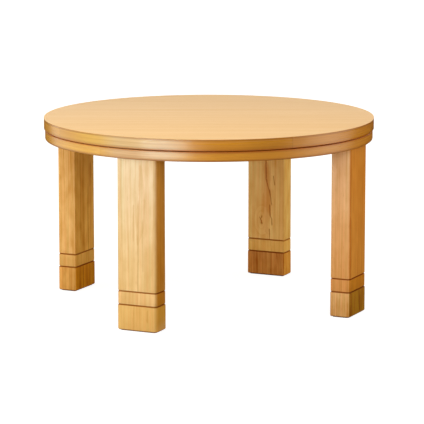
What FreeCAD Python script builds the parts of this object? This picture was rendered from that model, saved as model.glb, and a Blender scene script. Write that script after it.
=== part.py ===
import FreeCAD, Part
import math
import os

from FreeCAD import Vector

# Round low heated table: a loose top on a round base board, four legs, two plug-in risers under each leg.
# Millimetres, +Z up, origin on the floor under the centre. The legs stand on the X and Y axes.

# Driving dimensions
TOTAL_HEIGHT = 429.0
TOP_DIAMETER = 750.0
TOP_THICKNESS = 26.0
BASE_DIAMETER = 745.0
BASE_THICKNESS = 22.0
SHORT_RISER = 30.0
TALL_RISER = 56.0
LEG_WIDTH = 95.0
LEG_DEPTH = 46.0
LEG_CENTRE_RADIUS = 345.0
HEATER_SIDE = 302.0

# Small sizes of the wooden pieces
EDGE_WIDTH = 14.0
TOP_EDGE_START_DEG = -36.0
BASE_EDGE_START_DEG = -14.0
SHEET = 0.8
TOP_UPPER_ROUND = 0.7
TOP_LOWER_ROUND = 3.0
BASE_UPPER_ROUND = 2.0
BASE_LOWER_ROUND = 3.0
TOP_PAD = 1.5
TOP_PAD_DIAMETER = 22.0
TOP_PAD_RADIUS = 325.0
TOP_PAD_STEP_DEG = 45.0
FOOT_PAD = 2.0
FOOT_PAD_INSET = 4.0
LEG_OUTER_ROUND = 7.0
LEG_INNER_ROUND = 2.2
BLOCK_CHAMFER = 1.8
FOOT_PROUD = 0.7
FOOT_LOWER_CHAMFER = 1.8

# Plug joint between leg and risers: two steel pins in two sleeves
PIN_DIAMETER = 10.0
PIN_SPREAD = 24.0
PIN_PROUD = 16.0
PIN_SUNK = 12.0
PIN_TIP_CHAMFER = 1.0
SLEEVE_DIAMETER = 14.0
SLEEVE_LENGTH = 17.0
FIT_GAP = 0.05
SLIDING_GAP = 0.08

# Leg fastening: two furniture bolts from above and one angle bracket
BOLT_DIAMETER = 8.0
BOLT_SPREAD = 28.0
BOLT_LENGTH = 36.0
BOLT_HEAD_DIAMETER = 17.0
BOLT_HEAD = 3.5
BOLT_RECESS_DIAMETER = 18.5
BOLT_RECESS = 4.5
BOLT_KEY = 5.0
BOLT_KEY_DEPTH = 2.2
INSERT_DIAMETER = 12.0
INSERT_LENGTH = 22.0
INSERT_BORE_DEPTH = 26.0
BRACKET_WIDTH = 60.0
BRACKET_ARM = 45.0
BRACKET_SHEET = 2.5
BRACKET_CORNER = 8.0
BRACKET_RIB = 8.0
BRACKET_RIB_ARM = 22.0
BRACKET_BEND = 3.0
BRACKET_HOLE_SPREAD = 19.0
BRACKET_HOLE_STEPS = (17.0, 35.0)

# Wood screws
SCREW_DIAMETER = 4.0
SCREW_LENGTH = 14.0
SCREW_HEAD_DIAMETER = 8.0
SCREW_HEAD = 2.6
SCREW_SLOT = 1.2
SCREW_SLOT_LENGTH = 5.0
SCREW_SLOT_DEPTH = 1.3
SCREW_HOLE = 4.6

# Flat heater in the base board's opening
OPENING_GAP = 2.0
HEATER_CORNER = 12.0
HEATER_SHEET = 1.0
HEATER_FLANGE_SIDE = 332.0
HEATER_UPPER_DEPTH = 19.0
GUARD_SIDE = 308.0
GUARD_DEPTH = 18.0
GUARD_EDGE_ROUND = 4.0
SLOT_LENGTH = 46.0
SLOT_WIDTH = 5.0
SLOT_ROUND = 2.4
SLOT_COLUMNS = 27
SLOT_ROWS = 4
SLOT_PITCH_X = 10.0
SLOT_PITCH_Y = 54.0
SLOT_CENTRE_Y = -20.0
ELEMENT_SHEET = 1.2
ELEMENT_WIDTH = 284.0
ELEMENT_FRONT_Y = -142.0
ELEMENT_BACK_Y = 96.0
RIBBON_THICKNESS = 0.6
RIBBON_WIDTH = 5.0
RIBBON_ROWS = 20
RIBBON_MARGIN = 8.0
HEATER_SCREW_SPREAD = 110.0
HEATER_SCREW_LINE = 160.5

# Power inlet and the parts behind it
INLET_X = 60.0
INLET_WIDTH = 30.0
INLET_HEIGHT = 15.0
INLET_REACH = 28.0
INLET_TAIL = 9.0
INLET_WALL = 3.0
INLET_SHOULDER = 2.0
INLET_ROUND = 2.0
INLET_RECESS = 17.0
INLET_PIN_DIAMETER = 3.0
INLET_PIN_SPREAD = 5.5
INLET_PIN_PROUD = 11.0
INLET_TAB = 5.0
TERMINAL_SIZE = (44.0, 16.0, 9.0)
TERMINAL_CENTRE = (0.0, 128.0)
TERMINAL_SCREW = 5.0
THERMOSTAT_DIAMETER = 16.0
THERMOSTAT_HEIGHT = 8.0
THERMOSTAT_CENTRE = (-62.0, 124.0)
THERMOSTAT_EAR = (30.0, 9.0, 1.0)
FUSE_DIAMETER = 4.5
FUSE_LENGTH = 22.0
FUSE_CENTRE = (-112.0, 126.0)
LEAD_DIAMETER = 2.4
LEAD_HOLE_DIAMETER = 7.0
LEAD_HOLES_X = (-124.0, 124.0)
LEAD_HOLE_Y = 106.0

# Levels worked out from the sizes above
FOOT_TOP = FOOT_PAD + TALL_RISER
RISER_TOP = FOOT_TOP + SHORT_RISER
TOP_BOTTOM = TOTAL_HEIGHT - TOP_THICKNESS
BASE_TOP = TOP_BOTTOM - TOP_PAD
BASE_BOTTOM = BASE_TOP - BASE_THICKNESS
LEG_LENGTH = BASE_BOTTOM - RISER_TOP
TOP_RADIUS = TOP_DIAMETER / 2
BASE_RADIUS = BASE_DIAMETER / 2
CORE_RADIUS = TOP_RADIUS - EDGE_WIDTH
BASE_CORE_RADIUS = BASE_RADIUS - EDGE_WIDTH
LEG_INNER_Y = -LEG_CENTRE_RADIUS + LEG_DEPTH / 2
TRAY_FLANGE_BOTTOM = BASE_BOTTOM - HEATER_SHEET
PLATE_BOTTOM = TRAY_FLANGE_BOTTOM - HEATER_SHEET
GUARD_FLANGE_BOTTOM = PLATE_BOTTOM - HEATER_SHEET
GUARD_BOTTOM = PLATE_BOTTOM - GUARD_DEPTH
INLET_MIDDLE_Z = GUARD_FLANGE_BOTTOM - 1.0 - INLET_HEIGHT / 2
GUARD_WALL_Y = GUARD_SIDE / 2

SIDES = {"front": 0, "right": 90, "back": 180, "left": 270}
TINY = 1e-6
UP = Vector(0, 0, 1)
ORIGIN = Vector(0, 0, 0)


def cylinder(diameter, height, x=0.0, y=0.0, z=0.0):
    return Part.makeCylinder(diameter / 2, height, Vector(x, y, z))


def box(width, depth, height, x=0.0, y=0.0, z=0.0):
    """A box centred on x and y that stands on z."""
    return Part.makeBox(width, depth, height, Vector(x - width / 2, y - depth / 2, z))


def turned(shape, degrees):
    copy = shape.copy()
    copy.rotate(ORIGIN, UP, degrees)
    return copy


def outline(width, depth, front_round, back_round):
    """A rectangle about the origin whose front (-Y) and back corners have their own radii."""
    corners = [
        (-1, -1, front_round, 225),
        (1, -1, front_round, 315),
        (1, 1, back_round, 45),
        (-1, 1, back_round, 135),
    ]
    arcs = []
    for side_x, side_y, radius, middle_deg in corners:
        centre = Vector(side_x * (width / 2 - radius), side_y * (depth / 2 - radius), 0)
        spots = []
        for angle in (middle_deg - 45, middle_deg, middle_deg + 45):
            turn = math.radians(angle)
            spots.append(centre + Vector(radius * math.cos(turn), radius * math.sin(turn), 0))
        arcs.append(spots)
    edges = []
    for index, spots in enumerate(arcs):
        following = arcs[(index + 1) % len(arcs)]
        edges.append(Part.Arc(*spots).toShape())
        edges.append(Part.LineSegment(spots[2], following[0]).toShape())
    return Part.Wire(edges)


def rounded_prism(width, depth, height, front_round, back_round, x=0.0, y=0.0, z=0.0):
    prism = Part.Face(outline(width, depth, front_round, back_round)).extrude(Vector(0, 0, height))
    prism.translate(Vector(x, y, z))
    return prism


def edges_at(shape, z):
    """The edges that lie flat at height z."""
    return [e for e in shape.Edges if max(abs(e.BoundBox.ZMin - z), abs(e.BoundBox.ZMax - z)) < TINY]


def drilled(shape, cutters):
    return shape.cut(Part.Compound(cutters))


def ring_arcs(profile, start_degrees):
    """Four quarter rings turned from one profile in the XZ plane, first joint at start_degrees."""
    quarter = profile.revolve(ORIGIN, UP, 90)
    return [turned(quarter, start_degrees + 90 * step) for step in range(4)]


def edge_profile(outer, height, z, lower_round, upper_round):
    """Section of a rim strip: square inside, rounded on its two outer corners."""
    inner = outer - EDGE_WIDTH
    top = z + height
    slack = 1 - math.sqrt(0.5)

    def spot(radius, level):
        return Vector(radius, 0, level)

    edges = [
        Part.LineSegment(spot(inner, z), spot(outer - lower_round, z)).toShape(),
        Part.Arc(
            spot(outer - lower_round, z),
            spot(outer - lower_round * slack, z + lower_round * slack),
            spot(outer, z + lower_round),
        ).toShape(),
        Part.LineSegment(spot(outer, z + lower_round), spot(outer, top - upper_round)).toShape(),
        Part.Arc(
            spot(outer, top - upper_round),
            spot(outer - upper_round * slack, top - upper_round * slack),
            spot(outer - upper_round, top),
        ).toShape(),
        Part.LineSegment(spot(outer - upper_round, top), spot(inner, top)).toShape(),
        Part.LineSegment(spot(inner, top), spot(inner, z)).toShape(),
    ]
    return Part.Face(Part.Wire(edges))


# Tabletop


def tabletop_parts():
    face = cylinder(TOP_DIAMETER, SHEET, z=TOTAL_HEIGHT - SHEET)
    face = face.makeChamfer(SHEET / 2, edges_at(face, TOTAL_HEIGHT))
    core = cylinder(2 * CORE_RADIUS, TOP_THICKNESS - 2 * SHEET, z=TOP_BOTTOM + SHEET)
    backing = cylinder(2 * CORE_RADIUS, SHEET, z=TOP_BOTTOM)
    rim_height = TOP_THICKNESS - SHEET
    profile = edge_profile(TOP_RADIUS, rim_height, TOP_BOTTOM, TOP_LOWER_ROUND, TOP_UPPER_ROUND)
    parts = {"tabletop_face": face, "tabletop_core": core, "tabletop_backing": backing}
    for number, arc in enumerate(ring_arcs(profile, TOP_EDGE_START_DEG), start=1):
        parts[f"tabletop_edge_{number}"] = arc
    return parts


# Fasteners


def wood_screw():
    """A cross-slotted pan-head screw along +Z: head under z 0, shank above."""
    head = cylinder(SCREW_HEAD_DIAMETER, SCREW_HEAD, z=-SCREW_HEAD)
    head = head.makeFillet(SCREW_HEAD / 2, edges_at(head, -SCREW_HEAD))
    shank = cylinder(SCREW_DIAMETER, SCREW_LENGTH)
    slots = [
        box(SCREW_SLOT_LENGTH, SCREW_SLOT, SCREW_SLOT_DEPTH, z=-SCREW_HEAD),
        box(SCREW_SLOT, SCREW_SLOT_LENGTH, SCREW_SLOT_DEPTH, z=-SCREW_HEAD),
    ]
    return drilled(head.fuse(shank), slots).removeSplitter()


def pilot_hole():
    return cylinder(SCREW_DIAMETER + 2 * FIT_GAP, SCREW_LENGTH)


def set_upward(shape, x, y, z):
    copy = shape.copy()
    copy.translate(Vector(x, y, z))
    return copy


def set_outward(shape, x, y, z):
    """Turns a piece that points along +Z to point along -Y, into the front leg."""
    copy = shape.copy()
    copy.rotate(ORIGIN, Vector(1, 0, 0), 90)
    copy.translate(Vector(x, y, z))
    return copy


def bracket_screw_places(piece):
    """Copies of a piece at the eight screw holes of the front bracket."""
    places = []
    for x in (-BRACKET_HOLE_SPREAD, BRACKET_HOLE_SPREAD):
        for step in BRACKET_HOLE_STEPS:
            places.append(set_upward(piece, x, LEG_INNER_Y + step, BASE_BOTTOM - BRACKET_SHEET))
            places.append(set_outward(piece, x, LEG_INNER_Y + BRACKET_SHEET, BASE_BOTTOM - step))
    return places


def heater_screw_places(piece):
    """Copies of a piece at the eight screw holes of the heater's flange."""
    front = [
        set_upward(piece, x, -HEATER_SCREW_LINE, GUARD_FLANGE_BOTTOM)
        for x in (-HEATER_SCREW_SPREAD, HEATER_SCREW_SPREAD)
    ]
    return [turned(copy, degrees) for degrees in SIDES.values() for copy in front]


def furniture_bolt():
    """A wide-headed hex-socket bolt along -Z, its head's underside at z 0."""
    head = cylinder(BOLT_HEAD_DIAMETER, BOLT_HEAD)
    head = head.makeChamfer(BOLT_HEAD / 3, edges_at(head, BOLT_HEAD))
    shank = cylinder(BOLT_DIAMETER, BOLT_LENGTH, z=-BOLT_LENGTH)
    key = Part.Face(Part.makePolygon(hexagon(BOLT_KEY))).extrude(Vector(0, 0, BOLT_KEY_DEPTH))
    key.translate(Vector(0, 0, BOLT_HEAD - BOLT_KEY_DEPTH))
    return head.fuse(shank).cut(key)


def hexagon(across_flats):
    radius = across_flats / math.sqrt(3)
    turns = [math.radians(60 * step) for step in range(7)]
    return [Vector(radius * math.cos(turn), radius * math.sin(turn), 0) for turn in turns]


def bolt_places(piece, z):
    return [set_upward(piece, x, -LEG_CENTRE_RADIUS, z) for x in (-BOLT_SPREAD, BOLT_SPREAD)]


def pin_places(piece, z):
    return [set_upward(piece, x, -LEG_CENTRE_RADIUS, z) for x in (-PIN_SPREAD, PIN_SPREAD)]


# Legs and risers


def leg_block(height, z, proud=0.0, lower_chamfer=BLOCK_CHAMFER, upper_chamfer=BLOCK_CHAMFER):
    """A front leg section: rounded outer edges, nearly sharp inner ones, eased ends."""
    block = rounded_prism(
        LEG_WIDTH + 2 * proud,
        LEG_DEPTH + 2 * proud,
        height,
        LEG_OUTER_ROUND + proud,
        LEG_INNER_ROUND + proud,
        y=-LEG_CENTRE_RADIUS,
        z=z,
    )
    if lower_chamfer:
        block = block.makeChamfer(lower_chamfer, edges_at(block, z))
    if upper_chamfer:
        block = block.makeChamfer(upper_chamfer, edges_at(block, z + height))
    return block


def sleeve():
    tube = cylinder(SLEEVE_DIAMETER, SLEEVE_LENGTH)
    return tube.cut(cylinder(PIN_DIAMETER + 2 * SLIDING_GAP, SLEEVE_LENGTH))


def sleeve_bore():
    return cylinder(SLEEVE_DIAMETER + 2 * FIT_GAP, SLEEVE_LENGTH)


def plug_pin():
    """A steel pin that stands on z 0, part of it sunk below."""
    pin = cylinder(PIN_DIAMETER, PIN_PROUD + PIN_SUNK, z=-PIN_SUNK)
    return pin.makeChamfer(PIN_TIP_CHAMFER, edges_at(pin, PIN_PROUD))


def pin_bore():
    return cylinder(PIN_DIAMETER + 2 * FIT_GAP, PIN_SUNK, z=-PIN_SUNK)


def front_leg():
    leg = leg_block(LEG_LENGTH, RISER_TOP, upper_chamfer=0.0)
    insert_bore = cylinder(INSERT_DIAMETER + 2 * FIT_GAP, INSERT_BORE_DEPTH)
    cutters = bolt_places(insert_bore, BASE_BOTTOM - INSERT_BORE_DEPTH)
    cutters += pin_places(sleeve_bore(), RISER_TOP)
    holes = bracket_screw_places(pilot_hole())
    return drilled(leg, cutters + holes)


def leg_parts():
    return {f"leg_{side}": turned(front_leg(), degrees) for side, degrees in SIDES.items()}


def riser_parts():
    """The short riser with its pins and sleeves, and the tall riser with its pins and foot pad, per leg."""
    short = leg_block(SHORT_RISER, FOOT_TOP)
    short = drilled(short, pin_places(pin_bore(), RISER_TOP) + pin_places(sleeve_bore(), FOOT_TOP))
    tall = leg_block(TALL_RISER, FOOT_PAD, proud=FOOT_PROUD, lower_chamfer=FOOT_LOWER_CHAMFER)
    tall = drilled(tall, pin_places(pin_bore(), FOOT_TOP))
    pad_width = LEG_WIDTH - 2 * FOOT_PAD_INSET
    pad_depth = LEG_DEPTH - 2 * FOOT_PAD_INSET
    pad = rounded_prism(
        pad_width, pad_depth, FOOT_PAD, LEG_OUTER_ROUND, LEG_INNER_ROUND, y=-LEG_CENTRE_RADIUS
    )
    front = {
        "short_riser": short,
        "short_riser_pins": Part.Compound(pin_places(plug_pin(), RISER_TOP)),
        "short_riser_sleeves": Part.Compound(pin_places(sleeve(), FOOT_TOP)),
        "tall_riser": tall,
        "tall_riser_pins": Part.Compound(pin_places(plug_pin(), FOOT_TOP)),
        "foot_pad": pad,
    }
    return {
        f"{name}_{side}": turned(shape, degrees)
        for side, degrees in SIDES.items()
        for name, shape in front.items()
    }


def front_bracket():
    """Pressed angle bracket between leg and base board, with a stiffening rib."""
    reach = LEG_INNER_Y + BRACKET_ARM
    upright = box(BRACKET_WIDTH, BRACKET_SHEET, BRACKET_ARM)
    upright.translate(Vector(0, LEG_INNER_Y + BRACKET_SHEET / 2, BASE_BOTTOM - BRACKET_ARM))
    arm = Part.makeBox(
        BRACKET_WIDTH,
        BRACKET_ARM,
        BRACKET_SHEET,
        Vector(-BRACKET_WIDTH / 2, LEG_INNER_Y, BASE_BOTTOM - BRACKET_SHEET),
    )
    lower_ends = edges_at(upright, BASE_BOTTOM - BRACKET_ARM)
    upright = upright.makeFillet(BRACKET_CORNER, [e for e in lower_ends if e.BoundBox.YLength > 1])
    outer_ends = [e for e in arm.Edges if e.BoundBox.YMin > reach - TINY]
    arm = arm.makeFillet(BRACKET_CORNER, [e for e in outer_ends if e.BoundBox.ZLength > 1])
    corner_y = LEG_INNER_Y + BRACKET_SHEET
    corner_z = BASE_BOTTOM - BRACKET_SHEET
    rib_points = [
        Vector(-BRACKET_RIB / 2, corner_y, corner_z),
        Vector(-BRACKET_RIB / 2, corner_y + BRACKET_RIB_ARM, corner_z),
        Vector(-BRACKET_RIB / 2, corner_y, corner_z - BRACKET_RIB_ARM),
        Vector(-BRACKET_RIB / 2, corner_y, corner_z),
    ]
    rib = Part.Face(Part.makePolygon(rib_points)).extrude(Vector(BRACKET_RIB, 0, 0))
    bend_cutter = Part.makeCylinder(
        BRACKET_BEND,
        BRACKET_WIDTH,
        Vector(-BRACKET_WIDTH / 2, corner_y + BRACKET_BEND, corner_z - BRACKET_BEND),
        Vector(1, 0, 0),
    )
    bend = Part.makeBox(
        BRACKET_WIDTH,
        BRACKET_BEND,
        BRACKET_BEND,
        Vector(-BRACKET_WIDTH / 2, corner_y, corner_z - BRACKET_BEND),
    ).cut(bend_cutter)
    holes = bracket_screw_places(cylinder(SCREW_HOLE, BRACKET_SHEET + 1))
    return drilled(upright.fuse([arm, bend, rib]).removeSplitter(), holes)


def insert_nut():
    nut = cylinder(INSERT_DIAMETER, INSERT_LENGTH)
    return nut.cut(cylinder(BOLT_DIAMETER + 2 * FIT_GAP, INSERT_LENGTH))


def fastener_parts():
    def everywhere(front_pieces):
        copies = [turned(piece, degrees) for degrees in SIDES.values() for piece in front_pieces]
        return Part.Compound(copies)

    return {
        "leg_bolts": everywhere(bolt_places(furniture_bolt(), BASE_TOP - BOLT_RECESS)),
        "leg_inserts": everywhere(bolt_places(insert_nut(), BASE_BOTTOM - INSERT_LENGTH)),
        "leg_sleeves": everywhere(pin_places(sleeve(), RISER_TOP)),
        "leg_brackets": everywhere([front_bracket()]),
        "bracket_screws": everywhere(bracket_screw_places(wood_screw())),
        "heater_screws": Part.Compound(heater_screw_places(wood_screw())),
    }


# Base board


def base_parts():
    board = cylinder(2 * BASE_CORE_RADIUS, BASE_THICKNESS, z=BASE_BOTTOM)
    opening_side = HEATER_SIDE + 2 * OPENING_GAP
    opening_round = HEATER_CORNER + OPENING_GAP
    opening = rounded_prism(
        opening_side, opening_side, BASE_THICKNESS, opening_round, opening_round, z=BASE_BOTTOM
    )
    bolt_hole = cylinder(BOLT_DIAMETER + 1, BASE_THICKNESS)
    recess = cylinder(BOLT_RECESS_DIAMETER, BOLT_RECESS)
    front_cutters = bolt_places(bolt_hole, BASE_BOTTOM) + bolt_places(recess, BASE_TOP - BOLT_RECESS)
    front_cutters += bracket_screw_places(pilot_hole())
    cutters = [turned(cutter, degrees) for degrees in SIDES.values() for cutter in front_cutters]
    cutters += heater_screw_places(pilot_hole())
    parts = {"base_board": drilled(board.cut(opening), cutters)}
    profile = edge_profile(BASE_RADIUS, BASE_THICKNESS, BASE_BOTTOM, BASE_LOWER_ROUND, BASE_UPPER_ROUND)
    for number, arc in enumerate(ring_arcs(profile, BASE_EDGE_START_DEG), start=1):
        parts[f"base_edge_{number}"] = arc
    pad = turned(cylinder(TOP_PAD_DIAMETER, TOP_PAD, x=TOP_PAD_RADIUS, z=BASE_TOP), TOP_PAD_STEP_DEG / 2)
    pads = [turned(pad, TOP_PAD_STEP_DEG * step) for step in range(round(360 / TOP_PAD_STEP_DEG))]
    parts["top_pads"] = Part.Compound(pads)
    return parts


# Heater


def square_flange(z, opening_side, corner):
    """One sheet of the heater's flange: a square frame with the eight screw holes."""
    flange = rounded_prism(
        HEATER_FLANGE_SIDE, HEATER_FLANGE_SIDE, HEATER_SHEET, HEATER_CORNER, HEATER_CORNER, z=z
    )
    if opening_side:
        flange = flange.cut(rounded_prism(opening_side, opening_side, HEATER_SHEET, corner, corner, z=z))
    return drilled(flange, heater_screw_places(cylinder(SCREW_HOLE, 3 * HEATER_SHEET)))


def heater_tray():
    """Upper pan of the heater: it fills the opening and is shut on top."""
    inner_side = HEATER_SIDE - 2 * HEATER_SHEET
    inner_round = HEATER_CORNER - HEATER_SHEET
    pan = rounded_prism(
        HEATER_SIDE, HEATER_SIDE, HEATER_UPPER_DEPTH, HEATER_CORNER, HEATER_CORNER, z=BASE_BOTTOM
    )
    hollow = rounded_prism(
        inner_side, inner_side, HEATER_UPPER_DEPTH - HEATER_SHEET, inner_round, inner_round, z=BASE_BOTTOM
    )
    flange = square_flange(TRAY_FLANGE_BOTTOM, inner_side, inner_round)
    return pan.cut(hollow).fuse(flange).removeSplitter()


def guard_slot(x, y):
    slot = rounded_prism(SLOT_WIDTH, SLOT_LENGTH, 3 * HEATER_SHEET, SLOT_ROUND, SLOT_ROUND)
    slot.translate(Vector(x, y, GUARD_BOTTOM - HEATER_SHEET))
    return slot


def inlet_hole():
    width = INLET_WIDTH - 2 * INLET_SHOULDER
    height = INLET_HEIGHT - 2 * INLET_SHOULDER
    return box(width, INLET_TAIL, height, INLET_X, GUARD_WALL_Y, INLET_MIDDLE_Z - height / 2)


def heater_guard():
    """Lower slotted cover: a shallow pan with a flange, solid over the wiring at its back."""
    corner = HEATER_CORNER + GUARD_EDGE_ROUND
    pan = rounded_prism(GUARD_SIDE, GUARD_SIDE, GUARD_DEPTH, corner, corner, z=GUARD_BOTTOM)
    pan = pan.makeFillet(GUARD_EDGE_ROUND, edges_at(pan, GUARD_BOTTOM))
    hollow_side = GUARD_SIDE - 2 * HEATER_SHEET
    hollow_round = corner - HEATER_SHEET
    hollow = rounded_prism(
        hollow_side,
        hollow_side,
        GUARD_DEPTH - HEATER_SHEET,
        hollow_round,
        hollow_round,
        z=GUARD_BOTTOM + HEATER_SHEET,
    )
    inner_round = GUARD_EDGE_ROUND - HEATER_SHEET
    hollow = hollow.makeFillet(inner_round, edges_at(hollow, GUARD_BOTTOM + HEATER_SHEET))
    flange = square_flange(GUARD_FLANGE_BOTTOM, hollow_side, hollow_round)
    shell = pan.cut(hollow).fuse(flange).removeSplitter()
    slots = [
        guard_slot(
            (column - (SLOT_COLUMNS - 1) / 2) * SLOT_PITCH_X,
            SLOT_CENTRE_Y + (row - (SLOT_ROWS - 1) / 2) * SLOT_PITCH_Y,
        )
        for column in range(SLOT_COLUMNS)
        for row in range(SLOT_ROWS)
    ]
    return drilled(shell, slots + [inlet_hole()])


def radiator_plate():
    plate = square_flange(PLATE_BOTTOM, 0.0, 0.0)
    holes = [cylinder(LEAD_HOLE_DIAMETER, HEATER_SHEET, x, LEAD_HOLE_Y, PLATE_BOTTOM) for x in LEAD_HOLES_X]
    return drilled(plate, holes)


def element_panel():
    depth = ELEMENT_BACK_Y - ELEMENT_FRONT_Y
    middle = (ELEMENT_BACK_Y + ELEMENT_FRONT_Y) / 2
    return box(ELEMENT_WIDTH, depth, ELEMENT_SHEET, y=middle, z=TRAY_FLANGE_BOTTOM)


def element_ribbon():
    """Flat resistance ribbon laid to and fro on the panel, one unbroken strip with a tail at each end."""
    z = TRAY_FLANGE_BOTTOM + ELEMENT_SHEET
    length = ELEMENT_WIDTH - 2 * RIBBON_MARGIN
    first = ELEMENT_FRONT_Y + RIBBON_MARGIN
    pitch = (ELEMENT_BACK_Y - RIBBON_MARGIN - first) / (RIBBON_ROWS - 1)
    strips = []
    for row in range(RIBBON_ROWS):
        y = first + row * pitch
        strips.append(box(length, RIBBON_WIDTH, RIBBON_THICKNESS, y=y, z=z))
        if row < RIBBON_ROWS - 1:
            side = 1 if row % 2 else -1
            link_x = side * (length - RIBBON_WIDTH) / 2
            strips.append(box(RIBBON_WIDTH, pitch, RIBBON_THICKNESS, link_x, y + pitch / 2, z))
    return strips[0].fuse(strips[1:]).removeSplitter()


def heater_insulation():
    side = HEATER_SIDE - 2 * HEATER_SHEET - 1
    bottom = TRAY_FLANGE_BOTTOM + ELEMENT_SHEET + RIBBON_THICKNESS + 1
    top = BASE_BOTTOM + HEATER_UPPER_DEPTH - HEATER_SHEET
    corner = HEATER_CORNER - HEATER_SHEET
    return rounded_prism(side, side, top - bottom, corner, corner, z=bottom)


def power_inlet():
    """Moulded socket that stands out of the guard's back wall, with a tail through the wall."""
    low = INLET_MIDDLE_Z - INLET_HEIGHT / 2
    shroud = box(INLET_WIDTH, INLET_REACH, INLET_HEIGHT, INLET_X, GUARD_WALL_Y + INLET_REACH / 2, low)
    shroud = shroud.makeFillet(INLET_ROUND, [e for e in shroud.Edges if e.BoundBox.YLength > INLET_REACH - 1])
    narrower = 2 * INLET_SHOULDER + 4 * FIT_GAP
    tail_height = INLET_HEIGHT - narrower
    tail = box(INLET_WIDTH - narrower, INLET_TAIL, tail_height, INLET_X, GUARD_WALL_Y - INLET_TAIL / 2)
    tail.translate(Vector(0, 0, INLET_MIDDLE_Z - tail_height / 2))
    recess_height = INLET_HEIGHT - 2 * INLET_WALL
    recess = box(INLET_WIDTH - 2 * INLET_WALL, INLET_RECESS, recess_height, INLET_X)
    mouth_y = GUARD_WALL_Y + INLET_REACH
    recess.translate(Vector(0, mouth_y - INLET_RECESS / 2, INLET_MIDDLE_Z - recess_height / 2))
    pin_holes = [inlet_pin(x, FIT_GAP) for x in inlet_pins_x()]
    return drilled(shroud.fuse(tail).removeSplitter(), [recess] + pin_holes)


def inlet_pins_x():
    return (INLET_X - INLET_PIN_SPREAD, INLET_X + INLET_PIN_SPREAD)


def inlet_pin(x, gap=0.0):
    """A round contact pin along Y, from the tail's tab to inside the recess."""
    start = GUARD_WALL_Y - INLET_TAIL - INLET_TAB
    end = GUARD_WALL_Y + INLET_REACH - INLET_RECESS + INLET_PIN_PROUD
    place = Vector(x, start, INLET_MIDDLE_Z)
    return Part.makeCylinder(INLET_PIN_DIAMETER / 2 + gap, end - start, place, Vector(0, 1, 0))


def hung(shape, centre, height):
    """Places a piece of that height against the underside of the radiator plate."""
    copy = shape.copy()
    copy.translate(Vector(centre[0], centre[1], PLATE_BOTTOM - height))
    return copy


def terminal_block():
    width, depth, height = TERMINAL_SIZE
    block = box(width, depth, height)
    screws = [cylinder(TERMINAL_SCREW, 2.0, x, 0, 0) for x in (-width / 3, 0, width / 3)]
    return hung(drilled(block, screws), TERMINAL_CENTRE, height)


def thermostat():
    width, depth, sheet = THERMOSTAT_EAR
    can = cylinder(THERMOSTAT_DIAMETER, THERMOSTAT_HEIGHT)
    ears = box(width, depth, sheet, z=THERMOSTAT_HEIGHT - sheet)
    ears = drilled(ears, [cylinder(3.2, sheet, x, 0, THERMOSTAT_HEIGHT - sheet) for x in (-12, 12)])
    return hung(can.fuse(ears).removeSplitter(), THERMOSTAT_CENTRE, THERMOSTAT_HEIGHT)


def thermal_fuse():
    start = Vector(-FUSE_LENGTH / 2, 0, FUSE_DIAMETER / 2)
    can = Part.makeCylinder(FUSE_DIAMETER / 2, FUSE_LENGTH, start, Vector(1, 0, 0))
    clip = box(6, FUSE_DIAMETER + 2, FUSE_DIAMETER)
    return hung(can.fuse(clip).removeSplitter(), FUSE_CENTRE, FUSE_DIAMETER)


def lead(points):
    """A wire along straight runs joined by tangent arcs, each as large as its two runs allow."""
    edges = []
    start = points[0]
    for before, corner, after in zip(points, points[1:], points[2:]):
        back = before - corner
        ahead = after - corner
        turn = math.pi - back.getAngle(ahead)
        tangent = 0.45 * min(back.Length, ahead.Length)
        radius = tangent / math.tan(turn / 2)
        back.normalize()
        ahead.normalize()
        entry = corner + back * tangent
        leave = corner + ahead * tangent
        bisector = back + ahead
        bisector.normalize()
        middle = corner + bisector * (math.hypot(radius, tangent) - radius)
        edges.append(Part.LineSegment(start, entry).toShape())
        edges.append(Part.Arc(entry, middle, leave).toShape())
        start = leave
    edges.append(Part.LineSegment(start, points[-1]).toShape())
    path = Part.Wire(edges)
    direction = points[1] - points[0]
    section = Part.Wire(Part.makeCircle(LEAD_DIAMETER / 2, points[0], direction))
    tube = path.makePipeShell([section], True, False)
    wanted = math.pi * (LEAD_DIAMETER / 2) ** 2 * path.Length
    print(f"lead {path.Length:.1f} mm long, volume {tube.Volume / wanted:.3f} of section times length")
    return tube


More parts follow.
